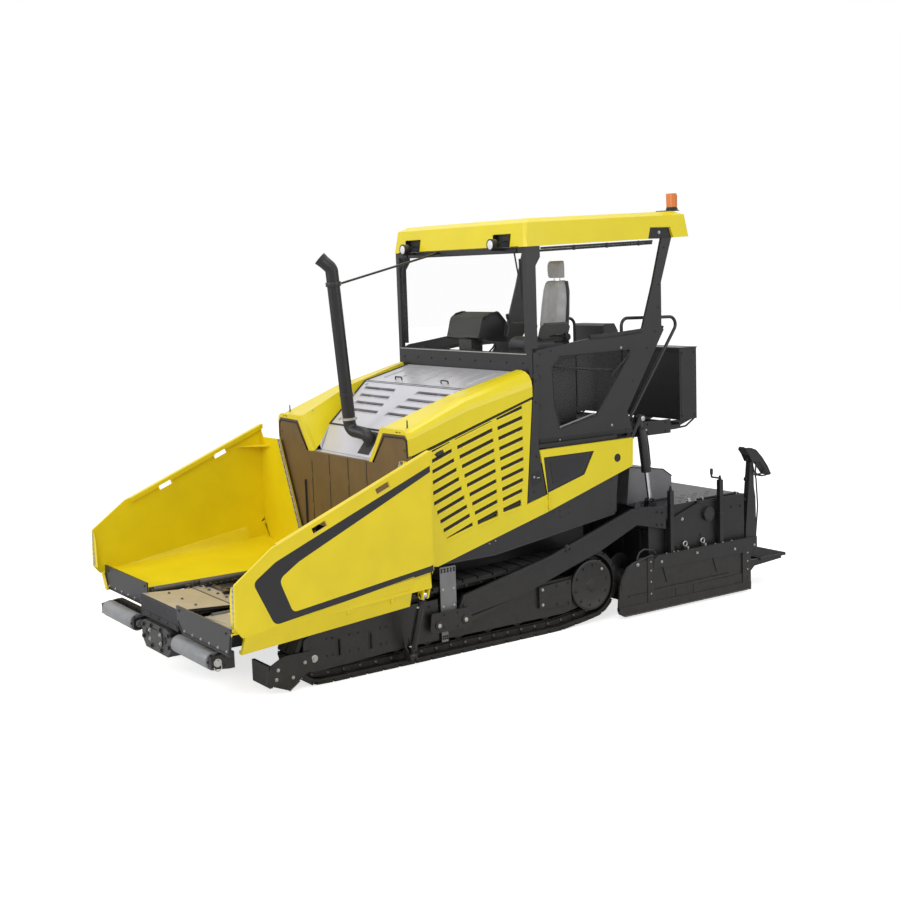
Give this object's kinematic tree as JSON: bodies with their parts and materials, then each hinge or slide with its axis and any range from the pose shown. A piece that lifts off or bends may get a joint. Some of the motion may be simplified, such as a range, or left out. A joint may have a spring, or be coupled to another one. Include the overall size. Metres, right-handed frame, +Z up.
{
  "type": "asphalt paver",
  "caption": "Tracked road paver: open front hopper with folding wings, louvred engine housing, roofed operator platform and a towed extending screed behind.",
  "frame": {"origin": "on the ground, at the middle of the machine's length and width", "axes": "+Z up, travel toward -Y, the machine's left side is +X"},
  "size_m": [3.27, 6.94, 4.2479],
  "materials": {
    "auger_left": "bare hard cast flights",
    "auger_right": "bare hard cast flights",
    "body_pillars": "semi-gloss anthracite paint",
    "bulkhead": "matte brown-olive paint",
    "cab_glass": "clear safety glass",
    "cab_side_left": "semi-gloss anthracite paint",
    "cab_side_right": "semi-gloss anthracite paint",
    "conveyors": "worn steel slats",
    "end_gate_left": "semi-gloss anthracite paint",
    "end_gate_right": "semi-gloss anthracite paint",
    "engine_block": "semi-gloss anthracite paint",
    "exhaust_stack": "semi-gloss anthracite paint",
    "exhaust_stay": "semi-gloss anthracite paint",
    "extension_left": "semi-gloss anthracite paint",
    "extension_right": "semi-gloss anthracite paint",
    "final_drives": "semi-gloss anthracite paint",
    "frame_skirts": "semi-gloss anthracite paint",
    "front_apron": "semi-gloss anthracite paint",
    "hoist_barrel_left": "semi-gloss anthracite paint",
    "hoist_barrel_right": "semi-gloss anthracite paint",
    "hoist_mounts": "semi-gloss anthracite paint",
    "hoist_rod_left": "polished rod",
    "hoist_rod_right": "polished rod",
    "hood_deck": "satin silver-grey paint",
    "hood_lid": "satin silver-grey paint",
    "hood_shoulders": "gloss yellow paint",
    "hopper_wing_left": "gloss yellow paint",
    "hopper_wing_right": "gloss yellow paint",
    "main_frame": "semi-gloss anthracite paint",
    "operator_console": "textured black plastic",
    "operator_seat": "grey seat cover",
    "platform_floor": "semi-gloss anthracite paint",
    "platform_rails": "semi-gloss anthracite paint",
    "push_beam": "semi-gloss anthracite paint",
    "push_roller_left": "grey rolled steel",
    "push_roller_right": "grey rolled steel",
    "rear_box": "semi-gloss anthracite paint",
    "rear_side_panels": "gloss yellow paint",
    "roof": "gloss yellow paint",
    "roof_lights": "lamp lens and amber beacon",
    "screed_console_left": "semi-gloss anthracite paint",
    "screed_console_right": "semi-gloss anthracite paint",
    "screed_cover": "light grey cover",
    "screed_frame": "semi-gloss anthracite paint",
    "seat_base": "semi-gloss anthracite paint",
    "side_door_left": "gloss yellow paint",
    "side_door_right": "gloss yellow paint",
    "tank_body": "semi-gloss anthracite paint",
    "tow_arms": "semi-gloss anthracite paint",
    "track_frame_left": "semi-gloss anthracite paint",
    "track_frame_right": "semi-gloss anthracite paint",
    "track_left": "worn black steel shoes",
    "track_right": "worn black steel shoes",
    "track_wheels": "semi-gloss anthracite paint",
    "windscreen_frame": "semi-gloss anthracite paint",
    "wing_barrel_left": "semi-gloss anthracite paint",
    "wing_barrel_right": "semi-gloss anthracite paint",
    "wing_rod_left": "polished rod",
    "wing_rod_right": "polished rod"
  },
  "bodies": {
    "paver": {"body_pillars": "body_pillars", "bulkhead": "bulkhead", "cab_glass": "cab_glass", "cab_side_left": "cab_side_left", "cab_side_right": "cab_side_right", "conveyors": "conveyors", "engine_block": "engine_block", "exhaust_stack": "exhaust_stack", "exhaust_stay": "exhaust_stay", "final_drives": "final_drives", "frame_skirts": "frame_skirts", "hoist_mounts": "hoist_mounts", "hood_deck": "hood_deck", "hood_lid": "hood_lid", "hood_shoulders": "hood_shoulders", "main_frame": "main_frame", "operator_console": "operator_console", "operator_seat": "operator_seat", "platform_floor": "platform_floor", "platform_rails": "platform_rails", "rear_box": "rear_box", "rear_side_panels": "rear_side_panels", "roof": "roof", "roof_lights": "roof_lights", "seat_base": "seat_base", "tank_body": "tank_body", "track_frame_left": "track_frame_left", "track_frame_right": "track_frame_right", "track_left": "track_left", "track_right": "track_right", "track_wheels": "track_wheels", "windscreen_frame": "windscreen_frame"},
    "wing_left": {"hopper_wing_left": "hopper_wing_left"},
    "wing_ram_left": {"wing_barrel_left": "wing_barrel_left"},
    "wing_ram_rod_left": {"wing_rod_left": "wing_rod_left"},
    "push_roller_left": {"push_roller_left": "push_roller_left"},
    "side_door_left": {"side_door_left": "side_door_left"},
    "extension_left": {"extension_left": "extension_left", "end_gate_left": "end_gate_left", "screed_console_left": "screed_console_left"},
    "hoist_left": {"hoist_barrel_left": "hoist_barrel_left"},
    "hoist_rod_left": {"hoist_rod_left": "hoist_rod_left"},
    "auger_left": {"auger_left": "auger_left"},
    "wing_right": {"hopper_wing_right": "hopper_wing_right"},
    "wing_ram_right": {"wing_barrel_right": "wing_barrel_right"},
    "wing_ram_rod_right": {"wing_rod_right": "wing_rod_right"},
    "push_roller_right": {"push_roller_right": "push_roller_right"},
    "side_door_right": {"side_door_right": "side_door_right"},
    "extension_right": {"extension_right": "extension_right", "end_gate_right": "end_gate_right", "screed_console_right": "screed_console_right"},
    "hoist_right": {"hoist_barrel_right": "hoist_barrel_right"},
    "hoist_rod_right": {"hoist_rod_right": "hoist_rod_right"},
    "auger_right": {"auger_right": "auger_right"},
    "apron": {"front_apron": "front_apron"},
    "push_beam": {"push_beam": "push_beam"},
    "screed": {"tow_arms": "tow_arms", "screed_frame": "screed_frame", "screed_cover": "screed_cover"}
  },
  "joints": [
    {"name": "wing_fold_left", "type": "hinge", "parent": "paver", "child": "wing_left", "pos_m": [0.662, -2.27, 0.632], "axis": [0, -1, 0], "range_deg": [0, 40]},
    {"name": "wing_ram_swing_left", "type": "hinge", "parent": "paver", "child": "wing_ram_left", "pos_m": [1.31, -1.52, 0.11], "axis": [0, -1, 0], "range_deg": [0, 22.75]},
    {"name": "wing_ram_stroke_left", "type": "slide", "parent": "wing_ram_left", "child": "wing_ram_rod_left", "axis": [0.3518, 0, 0.9361], "range_m": [0, 0.504]},
    {"name": "wing_fold_right", "type": "hinge", "parent": "paver", "child": "wing_right", "pos_m": [-0.662, -2.27, 0.632], "axis": [0, 1, 0], "range_deg": [0, 40]},
    {"name": "wing_ram_swing_right", "type": "hinge", "parent": "paver", "child": "wing_ram_right", "pos_m": [-1.31, -1.52, 0.11], "axis": [0, 1, 0], "range_deg": [0, 22.75]},
    {"name": "wing_ram_stroke_right", "type": "slide", "parent": "wing_ram_right", "child": "wing_ram_rod_right", "axis": [-0.3518, 0, 0.9361], "range_m": [0, 0.504]},
    {"name": "apron_lift", "type": "hinge", "parent": "paver", "child": "apron", "pos_m": [0, -2.83, 0.612], "axis": [-1, 0, 0], "range_deg": [0, 45]},
    {"name": "push_beam_swing", "type": "hinge", "parent": "paver", "child": "push_beam", "pos_m": [0, -3.17, 0.415], "axis": [0, 0, 1], "range_deg": [-4, 4]},
    {"name": "push_roller_spin_left", "type": "hinge", "parent": "push_beam", "child": "push_roller_left", "pos_m": [0.84, -3.39, 0.4], "axis": [1, 0, 0], "continuous": true},
    {"name": "side_door_swing_left", "type": "hinge", "parent": "paver", "child": "side_door_left", "pos_m": [1.26, 0.138, 1.3], "axis": [0, 0, 1], "range_deg": [0, 75]},
    {"name": "push_roller_spin_right", "type": "hinge", "parent": "push_beam", "child": "push_roller_right", "pos_m": [-0.84, -3.39, 0.4], "axis": [1, 0, 0], "continuous": true},
    {"name": "side_door_swing_right", "type": "hinge", "parent": "paver", "child": "side_door_right", "pos_m": [-1.26, 0.138, 1.3], "axis": [0, 0, -1], "range_deg": [0, 75]},
    {"name": "screed_lift", "type": "hinge", "parent": "paver", "child": "screed", "pos_m": [0, -0.91, 0.34], "axis": [1, 0, 0], "range_deg": [0, 6]},
    {"name": "hoist_swing_left", "type": "hinge", "parent": "paver", "child": "hoist_left", "pos_m": [1.09, 1.466, 1.984], "axis": [-1, 0, 0], "range_deg": [0, 5.68]},
    {"name": "hoist_stroke_left", "type": "slide", "parent": "hoist_left", "child": "hoist_rod_left", "axis": [0, -0.1413, 0.99], "range_m": [0, 0.2672]},
    {"name": "extension_slide_left", "type": "slide", "parent": "screed", "child": "extension_left", "axis": [1, 0, 0], "range_m": [0, 1]},
    {"name": "auger_spin_left", "type": "hinge", "parent": "paver", "child": "auger_left", "pos_m": [0.6, 1.235, 0.4], "axis": [1, 0, 0], "continuous": true},
    {"name": "hoist_swing_right", "type": "hinge", "parent": "paver", "child": "hoist_right", "pos_m": [-1.09, 1.466, 1.984], "axis": [-1, 0, 0], "range_deg": [0, 5.68]},
    {"name": "hoist_stroke_right", "type": "slide", "parent": "hoist_right", "child": "hoist_rod_right", "axis": [0, -0.1413, 0.99], "range_m": [0, 0.2672]},
    {"name": "extension_slide_right", "type": "slide", "parent": "screed", "child": "extension_right", "axis": [-1, 0, 0], "range_m": [0, 1]},
    {"name": "auger_spin_right", "type": "hinge", "parent": "paver", "child": "auger_right", "pos_m": [-0.6, 1.235, 0.4], "axis": [1, 0, 0], "continuous": true}
  ],
  "couplings": [
    {"joint": "wing_ram_swing_left", "follows": "wing_fold_left", "ratio": 0.55616},
    {"joint": "wing_ram_stroke_left", "follows": "wing_fold_left", "m_per_rad": 0.71906},
    {"joint": "wing_ram_swing_right", "follows": "wing_fold_right", "ratio": 0.55616},
    {"joint": "wing_ram_stroke_right", "follows": "wing_fold_right", "m_per_rad": 0.71906},
    {"joint": "hoist_swing_left", "follows": "screed_lift", "ratio": 0.89667},
    {"joint": "hoist_stroke_left", "follows": "screed_lift", "m_per_rad": 2.5323},
    {"joint": "hoist_swing_right", "follows": "screed_lift", "ratio": 0.89667},
    {"joint": "hoist_stroke_right", "follows": "screed_lift", "m_per_rad": 2.5323}
  ]
}
